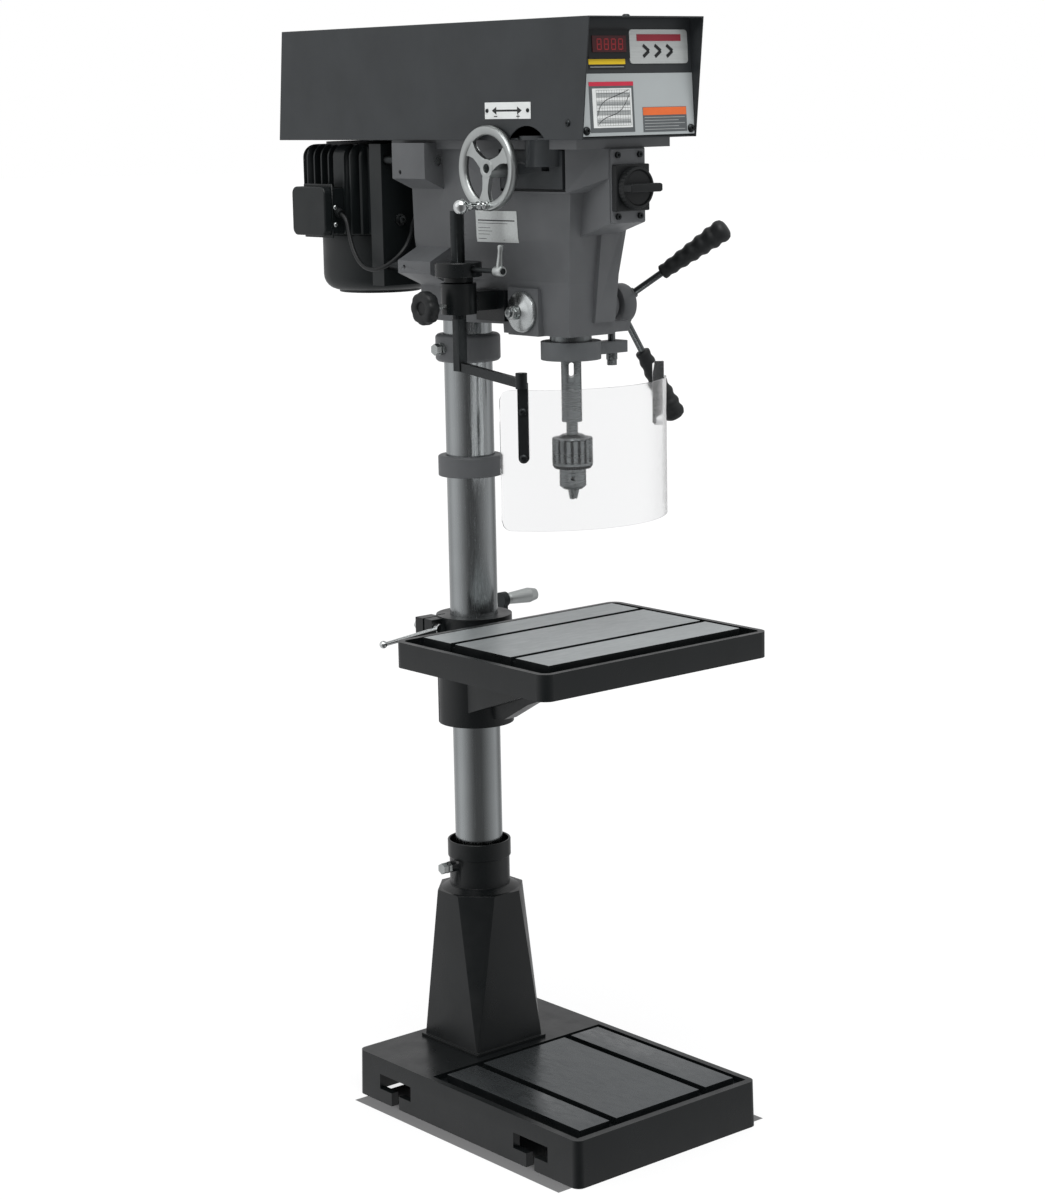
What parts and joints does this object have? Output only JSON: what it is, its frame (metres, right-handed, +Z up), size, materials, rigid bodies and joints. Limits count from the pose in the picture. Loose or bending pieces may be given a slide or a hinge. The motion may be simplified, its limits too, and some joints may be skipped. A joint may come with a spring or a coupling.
{
  "type": "floor-standing drill press",
  "caption": "Floor-standing drill press with a rack-raised table, a clear swinging chuck guard, a spoked quill feed and a handwheel for its variable-speed belt drive.",
  "frame": {"origin": "the column's axis, on the floor under the base casting", "axes": "+Z up along the column; the operator stands at -Y, so the head, chuck and table are towards -Y and the motor is towards +Y; +X is the operator's right, where the feed handles are"},
  "size_m": [0.4933, 0.8194, 1.7829],
  "materials": {
    "head_grey": "satin",
    "charcoal": "satin",
    "motor_black": "semi-gloss",
    "cover_grey": "satin",
    "steel": "satin",
    "dark_steel": "satin",
    "machined": "milled",
    "bright": "polished",
    "cast_alloy": "cast",
    "black_plastic": "moulded",
    "belt_rubber": "matt",
    "clear": "clear",
    "panel": "satin"
  },
  "bodies": {
    "frame": {"base": "charcoal", "pedestal": "charcoal", "column": "steel", "frame_fasteners": "dark_steel", "rack_lower_ring": "charcoal", "column_collars": "head_grey", "head_casting": "head_grey", "cover_base": "cover_grey", "belt_cover": "cover_grey", "front_panel": "panel", "speed_readout": "black_plastic", "switch_plate": "panel", "switch_base": "black_plastic", "motor_frame": "motor_black", "motor_cowl": "motor_black", "terminal_box": "motor_black", "terminal_lid": "motor_black", "motor_bracket": "head_grey", "motor_lead": "belt_rubber", "lead_glands": "black_plastic", "v_belt": "belt_rubber", "speed_gearbox": "motor_black", "spring_housing": "bright", "guard_bracket": "charcoal"},
    "switch": {"switch_knob": "black_plastic"},
    "motor_shaft": {"motor_rotor": "steel", "motor_pulley_fixed": "cast_alloy"},
    "motor_sheave": {"motor_pulley_moving": "cast_alloy"},
    "spindle_pulley": {"spindle_pulley_fixed": "cast_alloy"},
    "spindle_sheave": {"spindle_pulley_moving": "cast_alloy"},
    "fork": {"shift_fork": "dark_steel"},
    "speed_wheel": {"speed_shaft": "steel", "handwheel": "bright"},
    "wheel_handle": {"handwheel_handle": "black_plastic"},
    "guard_post": {"guard_swivel": "black_plastic"},
    "guard_slider": {"guard_rod": "dark_steel", "guard_arm": "dark_steel", "guard_shield": "clear"},
    "guard_screw": {"guard_knob": "black_plastic"},
    "guard_clamp": {"guard_lever": "black_plastic"},
    "quill": {"quill": "steel", "quill_collar": "steel", "stop_rod": "steel", "spindle_bearings": "bright"},
    "spindle": {"spindle": "steel", "chuck_body": "steel"},
    "chuck_ring": {"chuck_sleeve": "steel"},
    "jaw_1": {"chuck_jaw_1": "steel"},
    "jaw_2": {"chuck_jaw_2": "steel"},
    "jaw_3": {"chuck_jaw_3": "steel"},
    "feed": {"pinion_shaft": "bright", "feed_hub": "head_grey", "feed_spokes": "bright", "feed_grips": "black_plastic"},
    "rack": {"table_rack": "steel"},
    "table": {"table": "charcoal", "table_bracket": "charcoal"},
    "crank": {"table_crank": "dark_steel"},
    "crank_handle": {"crank_grip": "cast_alloy"},
    "table_clamp": {"clamp_lever": "bright"}
  },
  "joints": [
    {"name": "table_swing", "type": "hinge", "parent": "frame", "child": "rack", "pos_m": [0, 0, 0.74], "axis": [0, 0, 1], "range_deg": [-90, 90]},
    {"name": "table_lift", "type": "slide", "parent": "rack", "child": "table", "axis": [0, 0, -1], "range_m": [-0.18, 0.17]},
    {"name": "table_crank_turn", "type": "hinge", "parent": "table", "child": "crank", "pos_m": [0.1, 0.062, 0.745], "axis": [1, 0, 0], "range_deg": [-660, 620]},
    {"name": "crank_grip_spin", "type": "hinge", "parent": "crank", "child": "crank_handle", "pos_m": [0.15, 0.062, 0.821], "axis": [1, 0, 0], "continuous": true},
    {"name": "table_clamp_turn", "type": "hinge", "parent": "table", "child": "table_clamp", "pos_m": [-0.074, 0, 0.805], "axis": [0, 1, 0], "range_deg": [-20, 35]},
    {"name": "quill_feed", "type": "slide", "parent": "frame", "child": "quill", "axis": [0, 0, -1], "range_m": [0, 0.12], "stiffness_N_per_m": 400, "springref_m": -0.4},
    {"name": "feed_turn", "type": "hinge", "parent": "frame", "child": "feed", "pos_m": [0, -0.209, 1.338], "axis": [1, 0, 0], "range_deg": [-410, 10]},
    {"name": "spindle_spin", "type": "hinge", "parent": "quill", "child": "spindle", "pos_m": [0, -0.257, 1.2], "axis": [0, 0, -1], "continuous": true},
    {"name": "spindle_pulley_spin", "type": "hinge", "parent": "frame", "child": "spindle_pulley", "pos_m": [0, -0.257, 1.69], "axis": [0, 0, -1], "continuous": true},
    {"name": "motor_spin", "type": "hinge", "parent": "frame", "child": "motor_shaft", "pos_m": [0, 0.234, 1.69], "axis": [0, 0, -1], "continuous": true},
    {"name": "speed_wheel_turn", "type": "hinge", "parent": "frame", "child": "speed_wheel", "pos_m": [-0.1, -0.215, 1.562], "axis": [-1, 0, 0], "range_deg": [0, 720]},
    {"name": "spindle_sheave_shift", "type": "slide", "parent": "spindle_pulley", "child": "spindle_sheave", "axis": [0, 0, -1], "range_m": [0, 0.012]},
    {"name": "motor_sheave_shift", "type": "slide", "parent": "motor_shaft", "child": "motor_sheave", "axis": [0, 0, -1], "range_m": [0, 0.01]},
    {"name": "fork_shift", "type": "slide", "parent": "frame", "child": "fork", "axis": [0, 0, -1], "range_m": [0, 0.012]},
    {"name": "handwheel_handle_spin", "type": "hinge", "parent": "speed_wheel", "child": "wheel_handle", "pos_m": [-0.15, -0.215, 1.506], "axis": [1, 0, 0], "continuous": true},
    {"name": "switch_turn", "type": "hinge", "parent": "frame", "child": "switch", "pos_m": [0, -0.41, 1.531], "axis": [0, 1, 0], "range_deg": [0, 90]},
    {"name": "guard_swing", "type": "hinge", "parent": "frame", "child": "guard_post", "pos_m": [-0.125, -0.135, 1.4], "axis": [0, 0, -1], "range_deg": [0, 100]},
    {"name": "guard_slide", "type": "slide", "parent": "guard_post", "child": "guard_slider", "axis": [0, 0, -1], "range_m": [0, 0.075]},
    {"name": "guard_knob_turn", "type": "hinge", "parent": "frame", "child": "guard_screw", "pos_m": [-0.19, -0.135, 1.349], "axis": [-1, 0, 0], "range_deg": [0, 360]},
    {"name": "guard_lever_turn", "type": "hinge", "parent": "guard_post", "child": "guard_clamp", "pos_m": [-0.125, -0.235, 1.406], "axis": [0, 1, 0], "range_deg": [-80, 80]},
    {"name": "chuck_ring_turn", "type": "hinge", "parent": "spindle", "child": "chuck_ring", "pos_m": [0, -0.257, 1.118], "axis": [0, 0, 1], "range_deg": [-1080, 0]},
    {"name": "chuck_jaw_1_slide", "type": "slide", "parent": "spindle", "child": "jaw_1", "axis": [0, 0.2487, 0.9686], "range_m": [0, 0.018]},
    {"name": "chuck_jaw_2_slide", "type": "slide", "parent": "spindle", "child": "jaw_2", "axis": [-0.2154, -0.1243, 0.9686], "range_m": [0, 0.018]},
    {"name": "chuck_jaw_3_slide", "type": "slide", "parent": "spindle", "child": "jaw_3", "axis": [0.2154, -0.1243, 0.9686], "range_m": [0, 0.018]}
  ],
  "couplings": [
    {"joint": "table_crank_turn", "follows": "table_lift", "rad_per_m": 62.5},
    {"joint": "feed_turn", "follows": "quill_feed", "rad_per_m": -58.824},
    {"joint": "spindle_pulley_spin", "follows": "spindle_spin", "ratio": 1},
    {"joint": "motor_spin", "follows": "spindle_spin", "ratio": 1.625},
    {"joint": "spindle_sheave_shift", "follows": "speed_wheel_turn", "m_per_rad": 0.00095493},
    {"joint": "motor_sheave_shift", "follows": "speed_wheel_turn", "m_per_rad": 0.00079577},
    {"joint": "fork_shift", "follows": "speed_wheel_turn", "m_per_rad": 0.00095493},
    {"joint": "chuck_jaw_1_slide", "follows": "chuck_ring_turn", "m_per_rad": -0.00095493},
    {"joint": "chuck_jaw_2_slide", "follows": "chuck_ring_turn", "m_per_rad": -0.00095493},
    {"joint": "chuck_jaw_3_slide", "follows": "chuck_ring_turn", "m_per_rad": -0.00095493}
  ]
}
